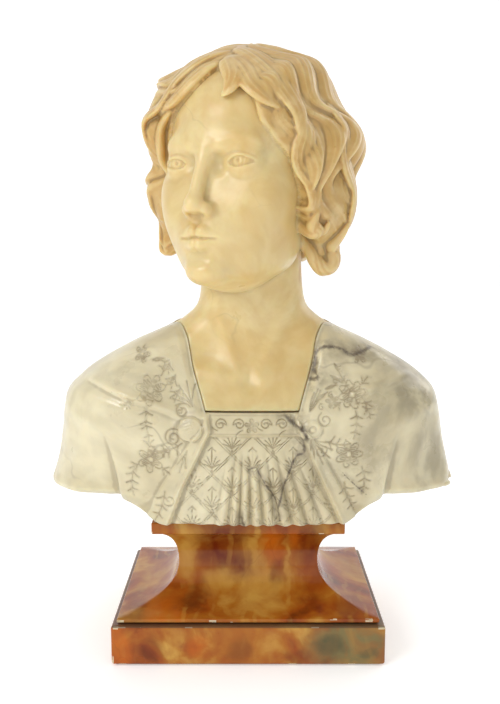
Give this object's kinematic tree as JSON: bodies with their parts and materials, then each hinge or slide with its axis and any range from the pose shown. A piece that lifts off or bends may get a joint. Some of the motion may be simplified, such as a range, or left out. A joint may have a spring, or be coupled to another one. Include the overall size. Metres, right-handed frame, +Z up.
{
  "type": "marble bust",
  "caption": "Carved alabaster bust of a young woman in an engraved square-necked bodice, in separate blocks on a waisted onyx-marble socle and plinth.",
  "frame": {"origin": "centre of the plinth's footprint, on the underside of the base felt", "axes": "+Z up, -Y the way the chest faces, +X towards the bust's own left shoulder"},
  "size_m": [0.4014, 0.207, 0.5634],
  "materials": {
    "head_alabaster": "warm honey alabaster, softly polished, faint cream clouds",
    "drapery_alabaster": "milky white alabaster with grey-brown veins, satin, engraved ornament left matt",
    "socle_onyx": "brown, amber and orange banded onyx marble, high polish",
    "plinth_onyx": "amber onyx marble clouded with grey-green, high polish",
    "cement": "dark matt cement in a thin joint",
    "plaster": "off-white casting plaster, matt",
    "steel": "zinc-dull mild steel",
    "felt": "dark green wool baize"
  },
  "bodies": {
    "root": {"base_felt": "felt", "plinth": "plinth_onyx", "plinth_bedding": "cement", "socle": "socle_onyx", "socle_bedding": "plaster", "drapery": "drapery_alabaster", "head_bedding": "cement", "head_and_neck": "head_alabaster", "head_dowel": "steel", "fixing_rod": "steel", "rod_plaster": "plaster", "rod_washer": "steel", "rod_nut": "steel"}
  },
  "joints": []
}
